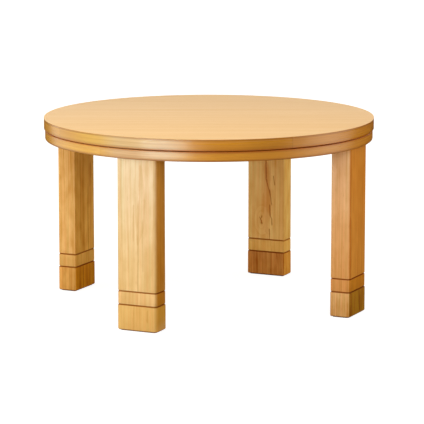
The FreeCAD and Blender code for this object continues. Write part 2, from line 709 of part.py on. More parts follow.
def heater_leads():
    """Wires behind the guard: inlet to terminals, thermostat, fuse and the two ends of the element."""
    level = INLET_MIDDLE_Z
    tab_y = GUARD_WALL_Y - INLET_TAIL - INLET_TAB
    block_x, block_y = TERMINAL_CENTRE
    block_half = TERMINAL_SIZE[0] / 2
    block_z = PLATE_BOTTOM - TERMINAL_SIZE[2] / 2
    stat_x, stat_y = THERMOSTAT_CENTRE
    stat_half = THERMOSTAT_DIAMETER / 2
    fuse_x, fuse_y = FUSE_CENTRE
    fuse_z = PLATE_BOTTOM - FUSE_DIAMETER / 2
    hole_left, hole_right = LEAD_HOLES_X
    ribbon_z = TRAY_FLANGE_BOTTOM
    inlet_left, inlet_right = inlet_pins_x()
    routes = [
        [
            Vector(inlet_left, tab_y, level),
            Vector(inlet_left, tab_y - 12, level),
            Vector(block_x + block_half + 10, block_y - 3, block_z),
            Vector(block_x + block_half, block_y - 3, block_z),
        ],
        [
            Vector(inlet_right, tab_y, level),
            Vector(inlet_right, tab_y - 16, level),
            Vector(hole_right - 14, LEAD_HOLE_Y + 8, level + 2),
            Vector(hole_right, LEAD_HOLE_Y, level + 6),
            Vector(hole_right, LEAD_HOLE_Y, ribbon_z),
        ],
        [
            Vector(block_x - block_half, block_y - 3, block_z),
            Vector(block_x - block_half - 12, block_y - 6, block_z - 1),
            Vector(stat_x + stat_half, stat_y, PLATE_BOTTOM - THERMOSTAT_HEIGHT + 3),
        ],
        [
            Vector(stat_x - stat_half, stat_y, PLATE_BOTTOM - THERMOSTAT_HEIGHT + 3),
            Vector(stat_x - stat_half - 12, stat_y - 4, fuse_z - 2),
            Vector(fuse_x + FUSE_LENGTH / 2, fuse_y, fuse_z),
        ],
        [
            Vector(fuse_x - FUSE_LENGTH / 2, fuse_y, fuse_z),
            Vector(fuse_x - FUSE_LENGTH / 2 - 10, fuse_y - 4, fuse_z - 3),
            Vector(hole_left - 4, LEAD_HOLE_Y + 5, fuse_z - 6),
            Vector(hole_left, LEAD_HOLE_Y, fuse_z - 5),
            Vector(hole_left, LEAD_HOLE_Y, ribbon_z),
        ],
    ]
    return Part.Compound([lead(points) for points in routes])


def heater_parts():
    return {
        "heater_tray": heater_tray(),
        "heater_insulation": heater_insulation(),
        "heater_element_panel": element_panel(),
        "heater_ribbon": element_ribbon(),
        "heater_radiator_plate": radiator_plate(),
        "heater_guard": heater_guard(),
        "power_inlet": power_inlet(),
        "inlet_pins": Part.Compound([inlet_pin(x) for x in inlet_pins_x()]),
        "terminal_block": terminal_block(),
        "thermostat": thermostat(),
        "thermal_fuse": thermal_fuse(),
        "heater_leads": heater_leads(),
    }


def main():
    os.makedirs("parts", exist_ok=True)
    groups = [tabletop_parts(), base_parts(), leg_parts(), riser_parts(), fastener_parts(), heater_parts()]
    for group in groups:
        for name, shape in group.items():
            shape.exportStep(os.path.join("parts", f"{name}.step"))
    print(f"{sum(len(group) for group in groups)} nodes, leg length {LEG_LENGTH:.1f} mm")


main()
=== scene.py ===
import math

import bmesh
import bpy
from mathutils import Matrix, Vector, noise


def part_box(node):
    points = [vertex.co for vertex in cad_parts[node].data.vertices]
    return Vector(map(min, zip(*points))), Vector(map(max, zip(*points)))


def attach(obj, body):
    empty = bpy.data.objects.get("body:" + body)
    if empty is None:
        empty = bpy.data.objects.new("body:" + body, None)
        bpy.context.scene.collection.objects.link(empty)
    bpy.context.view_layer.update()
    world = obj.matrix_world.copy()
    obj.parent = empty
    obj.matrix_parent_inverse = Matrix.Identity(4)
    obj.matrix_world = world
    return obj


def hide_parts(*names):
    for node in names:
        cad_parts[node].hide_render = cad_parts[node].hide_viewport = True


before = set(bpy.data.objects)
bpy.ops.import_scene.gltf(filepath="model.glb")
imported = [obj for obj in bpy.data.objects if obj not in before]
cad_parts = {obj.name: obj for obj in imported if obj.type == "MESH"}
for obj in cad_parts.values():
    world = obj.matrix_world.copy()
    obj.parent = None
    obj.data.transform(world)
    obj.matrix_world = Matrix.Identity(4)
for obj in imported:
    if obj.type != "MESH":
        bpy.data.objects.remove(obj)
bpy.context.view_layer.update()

scene = bpy.context.scene
scene.view_settings.view_transform = "Standard"
sides = {"front": 0, "right": 90, "back": 180, "left": 270}  # degrees about the table's axis
mm = 0.001
hair = 0.02 * mm   # how close counts as the same place
weld = 0.001 * mm  # vertices this close become one


# Shader values

class Value:  # a socket that can be added, multiplied and so on
    def __init__(self, look, socket):
        self.look = look
        self.socket = socket

    def out(self, key):  # another output of the same node
        return Value(self.look, self.socket.node.outputs[key])

    def __add__(self, other):
        return self.look.math("ADD", self, other)

    def __radd__(self, other):
        return self.look.math("ADD", other, self)

    def __sub__(self, other):
        return self.look.math("SUBTRACT", self, other)

    def __rsub__(self, other):
        return self.look.math("SUBTRACT", other, self)

    def __mul__(self, other):
        return self.look.math("MULTIPLY", self, other)

    def __truediv__(self, other):
        return self.look.math("DIVIDE", self, other)

    def __pow__(self, other):
        return self.look.math("POWER", self, other)

    def __abs__(self):
        return self.look.math("ABSOLUTE", self)


class Look:  # one material and the nodes in it
    def __init__(self, name, tree=None):
        if tree is None:
            self.material = bpy.data.materials.new(name)
            self.material.use_nodes = True
            tree = self.material.node_tree
        self.tree = tree
        self.tree.nodes.clear()

    def node(self, kind, settings=None, sockets=None, output=0):
        made = self.tree.nodes.new(kind)
        for key, setting in (settings or {}).items():
            setattr(made, key, setting)
        for key, value in (sockets or {}).items():
            target = made.inputs[key]
            if isinstance(value, Value):
                self.tree.links.new(value.socket, target)
            elif target.type == "RGBA":
                target.default_value = (*value, 1)
            else:
                target.default_value = value
        return Value(self, made.outputs[output]) if len(made.outputs) else None

    def math(self, operation, *values):
        return self.node("ShaderNodeMath", {"operation": operation}, dict(enumerate(values)))

    def vector(self, operation, first, second):
        return self.node("ShaderNodeVectorMath", {"operation": operation}, {0: first, 1: second})

    def place(self, turn=0.0, move=(0, 0, 0)):  # object coordinates, turned about Z and then moved
        spot = self.node("ShaderNodeTexCoord", output="Object")
        return self.node("ShaderNodeMapping", None, {
            "Vector": spot, "Rotation": (0, 0, math.radians(turn)), "Location": move})

    def axes(self, point):
        x = self.node("ShaderNodeSeparateXYZ", None, {0: point})
        return x, x.out(1), x.out(2)

    def joined(self, x, y, z):
        return self.node("ShaderNodeCombineXYZ", None, {0: x, 1: y, 2: z})

    def noise(self, point, scales, detail=2.0, roughness=0.5):  # scales are patches per metre along x, y, z
        stretched = self.vector("MULTIPLY", point, scales)
        return self.node("ShaderNodeTexNoise", None, {
            "Vector": stretched, "Scale": 1.0, "Detail": detail, "Roughness": roughness})

    def texture(self, point, scales, detail=2.0, roughness=0.5):  # the same, evened out about zero
        return self.noise(point, scales, detail, roughness) - 0.5

    def textures(self, point, grain):  # one for each row of scales, detail and roughness
        return {key: self.texture(point, *row) for key, row in grain.items()}

    def step(self, value, start, end, low=0.0, high=1.0):  # smooth change from low to high
        return self.node("ShaderNodeMapRange", {"interpolation_type": "SMOOTHSTEP"}, {
            "Value": value, "From Min": start, "From Max": end, "To Min": low, "To Max": high})

    def mix(self, amount, first, second, blend="MIX"):
        return self.node("ShaderNodeMix", {"data_type": "RGBA", "blend_type": blend}, {
            0: amount, 6: first, 7: second}, 2)

    def bump(self, height, strength, distance):
        return self.node("ShaderNodeBump", None, {
            "Height": height, "Strength": strength, "Distance": distance})

    def finish(self, **sockets):
        named = {key.replace("_", " "): value for key, value in sockets.items()}
        shader = self.node("ShaderNodeBsdfPrincipled", None, named)
        self.node("ShaderNodeOutputMaterial", None, {"Surface": shader})
        return self.material


def shaded(colour, factors):
    return tuple(part * factor for part, factor in zip(colour, factors))


def weighted(parts, weights):  # the middle value plus each part times its weight
    total = weights["middle"]
    for key, weight in weights.items():
        if key != "middle":
            total = parts[key] * weight + total
    return total


def grainedLook(name, surface, turn=0.0, **sockets):  # textures change the tone, roughness and relief
    look = Look(name)
    parts = look.textures(look.place(turn=turn), surface["grain"])
    colour = look.mix(weighted(parts, surface["tone"]), surface["light"], surface["dark"])
    return look.finish(Base_Color=colour, Roughness=weighted(parts, surface["roughness"]),
                       Normal=look.bump(weighted(parts, surface["relief"]), *surface["bump"]), **sockets)


# Mesh helpers

def bevelled(mesh, edges, offset, segments):
    bmesh.ops.bevel(mesh, geom=edges, offset=offset, affect="EDGES", segments=segments,
                    profile=0.5, material=-1, clamp_overlap=True)


def softened(mesh, offset, segments=2, degrees=25.0):  # takes the sharpness off every hard edge
    hard = [edge for edge in mesh.edges
            if len(edge.link_faces) == 2 and edge.calc_face_angle() > math.radians(degrees)]
    bevelled(mesh, hard, offset, segments)


def onlyVerts(geom):
    return [part for part in geom if isinstance(part, bmesh.types.BMVert)]


def slab(low, high):  # a box from its two corners
    mesh = bmesh.new()
    bmesh.ops.create_cube(mesh, size=1.0)
    bmesh.ops.scale(mesh, vec=high - low, verts=mesh.verts)
    bmesh.ops.translate(mesh, vec=(low + high) / 2, verts=mesh.verts)
    return mesh


def uprightEdges(mesh):
    return [edge for edge in mesh.edges if abs(edge.verts[0].co.z - edge.verts[1].co.z) > mm]


def addDisc(mesh, place, radius, height, segments):
    made = bmesh.ops.create_circle(mesh, cap_ends=True, segments=segments, radius=radius, matrix=place)
    flat = list({face for vert in made["verts"] for face in vert.link_faces})
    grown = bmesh.ops.extrude_face_region(mesh, geom=flat, use_keep_orig=True)
    bmesh.ops.translate(mesh, vec=(0, 0, height), verts=onlyVerts(grown["geom"]))


def turnAbout(mesh, degrees):  # about the table's axis
    bmesh.ops.rotate(mesh, matrix=Matrix.Rotation(math.radians(degrees), 3, "Z"), verts=mesh.verts)


def meshObject(name, mesh, material):
    data = bpy.data.meshes.new(name)
    mesh.to_mesh(data)
    mesh.free()
    data.materials.append(material)
    made = bpy.data.objects.new(name, data)
    scene.collection.objects.link(made)
    return made


def piece(name, mesh, material, body, slot, *replaced, crease=40.0):
    bmesh.ops.remove_doubles(mesh, verts=mesh.verts, dist=weld)
    bmesh.ops.recalc_face_normals(mesh, faces=mesh.faces)
    made = meshObject(name, mesh, material)
    made.data.shade_smooth()
    made.data.set_sharp_from_angle(angle=math.radians(crease))
    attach(made, body)
    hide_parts(*replaced)


# Camera at the photograph's viewing angle

view = {
    "location": (2.4396, -5.1725, 1.2134),
    "tiltDown": 9.987,  # degrees, as is the heading
    "heading": 25.18,
    "lens": 215.2,      # millimetres, as is the sensor
    "sensor": 36.0,
    "farClip": 200.0,
}
lens = bpy.data.cameras.new("camera")
lens.lens = view["lens"]
lens.sensor_width = view["sensor"]
lens.clip_end = view["farClip"]
camera = bpy.data.objects.new("camera", lens)
camera.location = view["location"]
camera.rotation_euler = (math.radians(90 - view["tiltDown"]), 0, math.radians(view["heading"]))
scene.collection.objects.link(camera)
scene.camera = camera
print("camera set")


# Studio: white floor and surround, four softboxes, and low lamps and dark cards for the lacquer

studio = {
    "floorSize": 60.0,
    "floorAlbedo": 0.70,
    "floorSeen": 0.35,           # albedo under the glow, where the floor is seen directly
    "floorGlow": 0.90,           # what the camera sees in the deepest shadow
    "glowSpan": (0.7, 2.0),      # metres from the axis between which the glow rises to white
    "ambient": (0.48, 0.43, 0.36),
    "aim": (0.0, 0.0, 0.26),
    "flagCloth": (0.05, 0.035, 0.02),
    "flagSteps": 40,
}

# Low dark cards seen only in the lacquer: degrees about the axis, and both edges as (radius, height)
flags = {
    "right": {"around": (27, 182), "edges": ((0.80, 0.0005), (0.80, 0.44))},
    "rightFoot": {"around": (-75, 205), "edges": ((0.10, 0.0005), (0.80, 0.0005))},
    "front": {"around": (-66, -19), "edges": ((1.0, 0.0005), (1.0, 0.42))},
}

# Degrees about the axis, metres from it, size, level of the middle, watts and colour.
# The diffuse ones light the surfaces, and the others show only in the lacquer.
softboxes = {
    "left": {
        "around": -130, "away": 2.9, "size": (1.9, 1.2), "level": 0.50,
        "power": 38, "colour": (0.97, 1, 0.90), "diffuse": True,
    },
    "front": {
        "around": -62, "away": 3.0, "size": (1.6, 1.0), "level": 1.60,
        "power": 16, "colour": (1, 0.96, 0.90), "diffuse": True,
    },
    "side": {
        "around": 25, "away": 2.3, "size": (1.4, 0.9), "level": 0.48,
        "power": 11.5, "colour": (1, 0.82, 0.56), "diffuse": True,
    },
    "above": {
        "around": -82, "away": 0.75, "size": (2.2, 2.2), "level": 2.4,
        "power": 29.5, "colour": (1, 0.985, 0.96), "diffuse": True,
    },
    "leftGloss": {
        "around": -87.4, "away": 0.72, "size": (0.30, 0.11), "level": 0.355,
        "power": 1.34, "colour": (0.66, 0.96, 1), "diffuse": False,
    },
    "leftFade": {
        "around": -118, "away": 1.80, "size": (1.60, 0.40), "level": 0.21,
        "power": 5.2, "colour": (0.84, 1, 0.90), "diffuse": False,
    },
    "leftFar": {
        "around": -175, "away": 1.80, "size": (1.80, 0.40), "level": 0.21,
        "power": 1.2, "colour": (1, 0.99, 0.97), "diffuse": False,
    },
    "sideGloss": {
        "around": 12, "away": 1.9, "size": (1.0, 0.40), "level": 0.21,
        "power": 2.7, "colour": (1, 0.97, 0.93), "diffuse": False,
    },
}


def directRays(look):  # 1 for rays that show the surround itself
    path = look.node("ShaderNodeLightPath", output="Is Camera Ray")
    return look.math("MINIMUM", path + path.out("Is Glossy Ray") + path.out("Is Transmission Ray"), 1.0)


def floorLook():
    look = Look("floorPaper")
    x, y, z = look.axes(look.place())
    far = look.step((x * x + y * y) ** 0.5, *studio["glowSpan"], studio["floorGlow"], 1.0)
    shade = look.node("ShaderNodeBsdfDiffuse", None, {"Color": (studio["floorAlbedo"],) * 3})
    glow = look.node("ShaderNodeEmission", None, {"Color": far})
    dimmed = look.node("ShaderNodeBsdfDiffuse", None, {"Color": (studio["floorSeen"],) * 3})
    seen = look.node("ShaderNodeAddShader", None, {0: glow, 1: dimmed})
    both = look.node("ShaderNodeMixShader", None, {0: directRays(look), 1: shade, 2: seen})
    look.node("ShaderNodeOutputMaterial", None, {"Surface": both})
    return look.material


def backdrop(name, mesh, material):
    made = meshObject(name, mesh, material)
    return made


def buildFlags():
    look = Look("flagCloth")
    cloth = look.finish(Base_Color=studio["flagCloth"], Roughness=1.0, Specular_IOR_Level=0.0)
    for name, card in flags.items():
        start, end = (math.radians(angle) for angle in card["around"])
        turned = Matrix.Rotation(start, 3, "Z")
        mesh = bmesh.new()
        verts = [mesh.verts.new(turned @ Vector((radius, 0, level))) for radius, level in card["edges"]]
        edge = mesh.edges.new(verts)
        bmesh.ops.spin(mesh, geom=verts + [edge], cent=(0, 0, 0), axis=(0, 0, 1), angle=end - start,
                       steps=studio["flagSteps"])
        flag = backdrop(f"{name}Flag", mesh, cloth)
        flag.visible_camera = False
        flag.visible_diffuse = False
        flag.visible_shadow = False


def buildStudio():
    mesh = bmesh.new()
    bmesh.ops.create_grid(mesh, x_segments=1, y_segments=1, size=studio["floorSize"] / 2)
    backdrop("floor", mesh, floorLook())
    buildFlags()
    scene.world = bpy.data.worlds.new("surround")
    scene.world.use_nodes = True
    look = Look("surround", scene.world.node_tree)
    soft = look.node("ShaderNodeBackground", None, {"Color": studio["ambient"]})
    white = look.node("ShaderNodeBackground", None, {"Color": (1, 1, 1)})
    both = look.node("ShaderNodeMixShader", None, {0: directRays(look), 1: soft, 2: white})
    look.node("ShaderNodeOutputWorld", None, {"Surface": both})
    for name, box in softboxes.items():
        lamp = bpy.data.lights.new(name, "AREA")
        lamp.shape = "RECTANGLE"
        lamp.size, lamp.size_y = box["size"]
        lamp.energy = box["power"]
        lamp.color = box["colour"]
        stand = bpy.data.objects.new(name, lamp)
        around = math.radians(box["around"])
        stand.location = (box["away"] * math.cos(around), box["away"] * math.sin(around), box["level"])
        aim = Vector(studio["aim"]) - stand.location
        stand.rotation_euler = aim.to_track_quat("-Z", "Y").to_euler()
        stand.visible_camera = False
        stand.visible_diffuse = box["diffuse"]
        stand.visible_glossy = not box["diffuse"]
        scene.collection.objects.link(stand)


buildStudio()
print("studio set")


# Tabletop face: pale sliced veneer under satin lacquer

topFace = {
    "segments": 256,
    "edgeChamfer": 0.4 * mm,
    "chamferSteps": 3,
    "grainTurn": 25.1,               # degrees from +X
    "pale": (0.870, 0.600, 0.305),
    "brown": (0.760, 0.470, 0.190),
    "poreTint": (0.75, 0.62, 0.5),   # factors on the brown
    "poreLevels": (0.16, 0.24),      # of the noise, from closed to open
    "poreDepth": 0.35,
    "figure": 0.013,                 # spacing of the figure, metres
    "wander": {"middle": 0.0, "sway": 0.02, "flame": 0.10},
    "tone": {"middle": 0.42, "streaks": 1.1, "figure": 0.10, "patches": 0.35, "fibres": 0.3},
    "roughness": {"middle": 0.44, "streaks": 0.12, "pores": 0.1},
    "relief": {"middle": 0.0, "fibres": 0.5, "pores": -1.0},
    "bump": (0.06, 0.2 * mm),        # strength and distance
    "gloss": 0.08,
}
topGrain = {  # patches per metre along, across and through the sheet, then detail and roughness
    "sway": ((1.7, 5.0, 1.0), 2.0),
    "flame": ((0.7, 2.2, 1.0), 1.0),
    "streaks": ((1.8, 110.0, 1.0), 3.0, 0.65),
    "fibres": ((24.0, 1500.0, 1.0), 3.0, 0.6),
    "patches": ((3.0, 6.0, 1.0), 2.0),
    "pores": ((40.0, 2100.0, 1.0), 1.0),
}


def veneerLook():
    look = Look("topVeneer")
    grain = look.place(turn=-topFace["grainTurn"])
    x, y, z = look.axes(grain)
    parts = look.textures(grain, topGrain)
    bands = (y + weighted(parts, topFace["wander"])) / topFace["figure"]
    parts["figure"] = (look.math("SINE", bands) * 0.5 + 0.5) ** 2.0
    parts["pores"] = look.step(parts["pores"], *topFace["poreLevels"])
    colour = look.mix(weighted(parts, topFace["tone"]), topFace["pale"], topFace["brown"])
    pore = shaded(topFace["brown"], topFace["poreTint"])
    colour = look.mix(parts["pores"] * topFace["poreDepth"], colour, pore)
    return look.finish(Base_Color=colour, Roughness=weighted(parts, topFace["roughness"]),
                       Specular_IOR_Level=topFace["gloss"],
                       Normal=look.bump(weighted(parts, topFace["relief"]), *topFace["bump"]))


def buildTopFace():
    low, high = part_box("tabletop_face")
    mesh = bmesh.new()
    addDisc(mesh, Matrix.Translation((0, 0, low.z)), high.x, high.z - low.z, topFace["segments"])
    edge = [part for part in mesh.edges if min(v.co.z for v in part.verts) > high.z - hair]
    bevelled(mesh, edge, topFace["edgeChamfer"], topFace["chamferSteps"])
    piece("top_face_veneer", mesh, veneerLook(), "tabletop", "top_veneer", "tabletop_face")


buildTopFace()
print("tabletop face built")


# Rim strips: four solid wood arcs round the tabletop and four round the base board

rims = {  # a shade is an amount, and the distances from the edge between which it fades
    "tabletop": {
        "start": -36, "inner": "tabletop_core", "body": "tabletop", "slot": "top_rim_wood",
        "lowerRound": 1.8 * mm, "upperRound": 0.7 * mm, "seam": "lower",
        "upperShade": (0.46, 2.6 * mm, 5.6 * mm), "lowerShade": (0.36, 1.0 * mm, 8.5 * mm),
        "tone": (0.545, 0.232, 0.018), "seed": 0.0, "joint": 0.6, "gloss": 0.45,
        "zones": ("paintedSheen", "paintedHighlight", "pale", "leftEnd", "frontLeft", "frontRight", "rightEnd"),
    },
    "base": {
        "start": -14, "inner": "base_board", "body": "frame", "slot": "base_rim_wood",
        "lowerRound": 3.0 * mm, "upperRound": 1.2 * mm, "seam": "upper",
        "upperShade": (0.26, 2.6 * mm, 5.6 * mm), "lowerShade": (0.55, 1.5 * mm, 7.5 * mm),
        "tone": (0.575, 0.252, 0.024), "seed": 40.0, "joint": 0.3, "gloss": 0.38,
        "zones": ("paintedSheen", "paintedHighlight", "pale", "leftEnd"),
    },
}
rimPaintedLight = {  # painted highlights and painted shade along the strips, set in the wood's tone: degrees about the axis and factors on the tone
    "paintedSheen": {"around": -120, "near": 18, "far": 40, "tint": (1.10, 1.34, 2.2)},
    "paintedHighlight": {"around": -88, "near": 7, "far": 17, "tint": (0.95, 1.10, 3.4)},
    "pale": {"around": -62, "near": 4, "far": 17, "tint": (1.10, 1.10, 1.05)},
    "leftEnd": {"around": -156, "near": 20, "far": 34, "tint": (0.86, 0.78, 0.55)},
    "frontLeft": {"around": -100, "near": 8, "far": 20, "tint": (1.12, 1.28, 1.45)},
    "frontRight": {"around": -38, "near": 8, "far": 20, "tint": (0.91, 0.90, 0.80)},
    "rightEnd": {"around": 26, "near": 8, "far": 20, "tint": (0.80, 0.72, 0.70)},
}
rimStrip = {
    "count": 4,
    "span": 90,                       # degrees
    "steps": 60,
    "roundSteps": 5,
    "tints": (1.0, 0.96, 1.03, 0.98),  # one strip is a little lighter than the next
    "seedStep": 3.7,                  # metres of grain from one strip to the next
    "ringSlope": (0.8, 0.6),          # how the rings rise up and through the strip
    "ringWander": 12.0 * mm,
    "ringWidth": 4.2 * mm,
    "light": (1.08, 1.12, 1.2),       # factors on the tone, as are the next three
    "dark": (0.80, 0.70, 0.55),
    # painted shade along the rims' edges
    "edge": (0.44, 0.27, 0.12),
    "jointLine": (0.22, 0.15, 0.12),
    "jointWidth": 0.6 * mm,
    "seamShade": (1.0, 0.72, 0.35),    # painted shade, redder, at the gap between tabletop and base
    "seamSpan": (1.2 * mm, 3.2 * mm),
    "tone": {"middle": 0.40, "streaks": 1.9, "patches": 0.7, "latewood": 0.3, "fibres": 0.4},
    "roughness": {"middle": 0.30, "streaks": 0.30, "patches": 0.06},
    "relief": {"middle": 0.0, "fibres": 1.0, "ring": -0.4},
    "bump": (0.04, 0.2 * mm),         # strength and distance
}
rimGrain = {  # patches per metre along, through and up the strip, then detail and roughness
    "sway": ((4.0, 12.0, 12.0), 2.0),
    "streaks": ((3.0, 140.0, 140.0), 3.0, 0.6),
    "fibres": ((30.0, 1400.0, 1400.0), 3.0, 0.6),
    "patches": ((7.0, 30.0, 30.0), 2.0),
}


def rimLook(name, middle, radius, bottom, top, rim, tint, seed):
    look = Look(name)
    half = rimStrip["span"] / 2
    x, y, z = look.axes(look.place(turn=-middle))
    angle = look.math("ARCTAN2", y, x)
    depth = (x * x + y * y) ** 0.5
    parts = look.textures(look.joined(angle * radius + seed, depth, z), rimGrain)
    up, through = rimStrip["ringSlope"]
    rise = z * up + depth * through + parts["sway"] * rimStrip["ringWander"]
    parts["ring"] = look.math("FRACT", rise / rimStrip["ringWidth"])
    parts["latewood"] = parts["ring"] ** 4.0
    tone = shaded(rim["tone"], (tint,) * 3)
    colour = look.mix(weighted(parts, rimStrip["tone"]),
                      shaded(tone, rimStrip["light"]), shaded(tone, rimStrip["dark"]))
    # painted highlights and painted shade, multiplied into the strip's colour
    for zone in (rimPaintedLight[key] for key in rim["zones"]):
        turned = (zone["around"] - middle + 180) % 360 - 180
        if abs(turned) < half + zone["far"]:
            apart = abs(angle - math.radians(turned))
            inside = look.step(apart, math.radians(zone["near"]), math.radians(zone["far"]), 1.0, 0.0)
            colour = look.mix(inside, colour, zone["tint"], "MULTIPLY")
    amount, near, far = rim["upperShade"]  # painted shade by the seam and at the base's bottom edge; on the tabletop a darker band under its face
    upper = look.step(top - z, near, far, amount, 0.0)
    amount, near, far = rim["lowerShade"]
    lower = look.step(z - bottom, near, far, amount, 0.0)
    colour = look.mix(upper + lower, colour, shaded(rim["tone"], rimStrip["edge"]))
    # painted shade at the gap between tabletop and base
    fromSeam = z - bottom if rim["seam"] == "lower" else top - z
    seam = look.step(fromSeam, *rimStrip["seamSpan"], 1.0, 0.0)
    colour = look.mix(seam, colour, rimStrip["seamShade"], "MULTIPLY")
    joint = look.step(math.radians(half) - abs(angle), 0.0, rimStrip["jointWidth"] / radius, 1.0, 0.0)
    colour = look.mix(joint * rim["joint"], colour, shaded(rim["tone"], rimStrip["jointLine"]))
    return look.finish(Base_Color=colour, Roughness=weighted(parts, rimStrip["roughness"]),
                       Specular_IOR_Level=rim["gloss"],
                       Normal=look.bump(weighted(parts, rimStrip["relief"]), *rimStrip["bump"]))


def outerArc(mesh, radius, level):  # the edges that run round the strip at that level
    def onArc(vert):
        return abs(vert.co.xy.length - radius) < hair and abs(vert.co.z - level) < hair
    return [edge for edge in mesh.edges if onArc(edge.verts[0]) and onArc(edge.verts[1])]


def stripMesh(rim, start, inner, outer, bottom, top):
    mesh = bmesh.new()
    corners = [(inner, bottom), (outer, bottom), (outer, top), (inner, top)]
    loop = [mesh.verts.new((radius, 0, level)) for radius, level in corners]
    for index, vert in enumerate(loop):
        mesh.edges.new((vert, loop[(index + 1) % len(loop)]))
    turnAbout(mesh, start)
    bmesh.ops.spin(mesh, geom=list(mesh.verts) + list(mesh.edges), cent=(0, 0, 0), axis=(0, 0, 1),
                   angle=math.radians(rimStrip["span"]), steps=rimStrip["steps"])
    bmesh.ops.holes_fill(mesh, edges=[edge for edge in mesh.edges if edge.is_boundary], sides=4)
    bmesh.ops.recalc_face_normals(mesh, faces=mesh.faces)
    for level, size in ((bottom, rim["lowerRound"]), (top, rim["upperRound"])):
        bevelled(mesh, outerArc(mesh, outer, level), size, rimStrip["roundSteps"])
    return mesh


def buildRims():
    numbers = range(1, rimStrip["count"] + 1)
    for owner, rim in rims.items():
        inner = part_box(rim["inner"])[1].x
        boxes = [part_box(f"{owner}_edge_{number}") for number in numbers]
        outer = max(high.x for low, high in boxes)
        bottom = boxes[0][0].z
        top = boxes[0][1].z
        for number in numbers:
            start = rim["start"] + rimStrip["span"] * (number - 1)
            mesh = stripMesh(rim, start, inner, outer, bottom, top)
            look = rimLook(f"{owner}RimWood{number}", start + rimStrip["span"] / 2, outer, bottom, top, rim,
                           rimStrip["tints"][number - 1], rim["seed"] + number * rimStrip["seedStep"])
            piece(f"{owner}_rim_strip_{number}", mesh, look, rim["body"], rim["slot"],
                  f"{owner}_edge_{number}")


buildRims()
print("rims built")


# Legs and risers: sawn blocks with eased ends and bores for the plug pins

blocks = {
    "outerRound": 7.0 * mm,
    "outerSteps": 8,
    "innerRound": 2.2 * mm,
    "innerSteps": 5,
    "chamfer": 1.8 * mm,
    "footChamfer": 1.8 * mm,
    "softening": 0.35 * mm,
    "pinSpread": 24.0 * mm,       # from the block's middle to each pin
    "pinBore": 5.05 * mm,         # radius, as is the sleeves'
    "pinBoreDepth": 12.0 * mm,
    "sleeveBore": 7.05 * mm,
    "sleeveBoreDepth": 17.0 * mm,
    "boreSegments": 40,
}
legLow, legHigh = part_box("leg_front")
footLow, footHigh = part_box("tall_riser_front")
legMiddle = (legLow.y + legHigh.y) / 2
legHalfWidth = (legHigh.x - legLow.x) / 2

# Each block's wood, with lengths in millimetres: tones of the wide and narrow faces, seed of its grain,
# place of the pith across x and y, contrast of its grain, and its marks: kind, points as (x, z), width and
# strength. The two faces' tones hold painted light and shade, each face as light or dark as the light on
# it.
# A fade holds factors on the tone at the lower and upper ends, painted light and shade along the length,
# and a corner is where one tone passes into the other.
legWoods = {
    "front": {
        "wide": (0.743, 0.540, 0.308), "narrow": (0.496, 0.233, 0.035),
        "seed": (1.3, 2.1, 0.4), "pith": (10, 92), "contrast": 1.1, "corner": (-7, 9),
        "paintedFade": {
            "wide": ((1.02, 0.97, 0.84), (0.98, 1.05, 1.24)),
            "narrow": ((0.96, 0.90, 0.60), (1.06, 1.09, 1.20)),
        },
        "marks": [
            ("stain", [(10.6, 366), (9.1, 301), (6.3, 257), (4.8, 202), (3.2, 136), (2.4, 90)], 3.4, 0.50),
            ("stain", [(-5.1, 278), (-5.9, 254), (-6.8, 201)], 2.6, 0.35),
            ("stain", [(20.4, 291), (16.8, 214), (15.4, 137)], 4.2, 0.30),
        ],
    },
    "right": {
        "wide": (0.586, 0.255, 0.039), "narrow": (0.810, 0.462, 0.219),
        "seed": (4.7, 0.6, 1.9), "pith": (-34, 70), "contrast": 1.1, "corner": (-2, 2),
        "paintedFade": {
            "wide": ((1.0, 1.0, 1.0), (0.98, 0.94, 0.86)),
            "narrow": ((0.95, 0.86, 0.68), (1.07, 1.17, 1.38)),
        },
        "marks": [
            # these two marks are painted shade along the rounded corner, drawn as stains
            ("stain", [(-43.8, 375), (-43.8, 268), (-43.8, 209)], 5.0, 0.75),
            ("stain", [(-43.3, 221), (-41.2, 154), (-42.2, 90)], 6.5, 0.95),
        ],
    },
    "back": {
        "wide": (0.920, 0.532, 0.193), "narrow": (0.920, 0.592, 0.198),
        "seed": (7.2, 3.4, 0.8), "pith": (14, -80), "contrast": 1.5,
        "marks": [
            ("stain", [(-0.8, 268), (-3.8, 218), (-6.7, 184), (-8.1, 161)], 13.0, 0.75),
            ("stain", [(1.6, 190), (0, 147), (-1.5, 112)], 11.0, 0.50),
            ("stain", [(6.3, 198), (7.4, 158)], 4.0, 0.6),
            ("crack", [(-0.4, 356), (-0.6, 236), (-4.5, 221), (-8.2, 209), (-13, 189), (-14.5, 176)],
             2.9, 1.0),
            ("crack", [(-9.8, 172), (-11, 147), (-14.7, 139), (-15.2, 126)], 2.8, 0.9),
            ("crack", [(-8.7, 113), (-10.2, 88)], 2.8, 0.8),
            ("stain", [(0.6, 107), (-8.8, 100)], 4.0, 0.5),
            ("crack", [(-19.8, 243), (-23, 223)], 2.0, 0.85),
            ("crack", [(11, 144), (14, 136), (10.6, 127)], 3.0, 1.0),
            ("crack", [(16.3, 141), (12.1, 134), (13.2, 128)], 2.6, 0.9),
        ],
        "knots": [(12.7, 135)],
    },
    "left": {
        "wide": (0.794, 0.441, 0.093), "narrow": (0.762, 0.443, 0.165),
        "seed": (9.9, 5.3, 2.7), "pith": (-30, -85), "contrast": 1.9,
        "marks": [
            ("stain", [(-25.9, 326), (-24, 253), (-19.9, 202)], 10.0, 0.60),
            ("crack", [(-29.3, 294), (-28.3, 260)], 3.8, 0.60),
            ("crack", [(-27.1, 256), (-25.3, 242)], 3.0, 0.45),
            ("stain", [(4.2, 336), (6.3, 256), (5.3, 186)], 3.0, 0.35),
        ],
    },
}
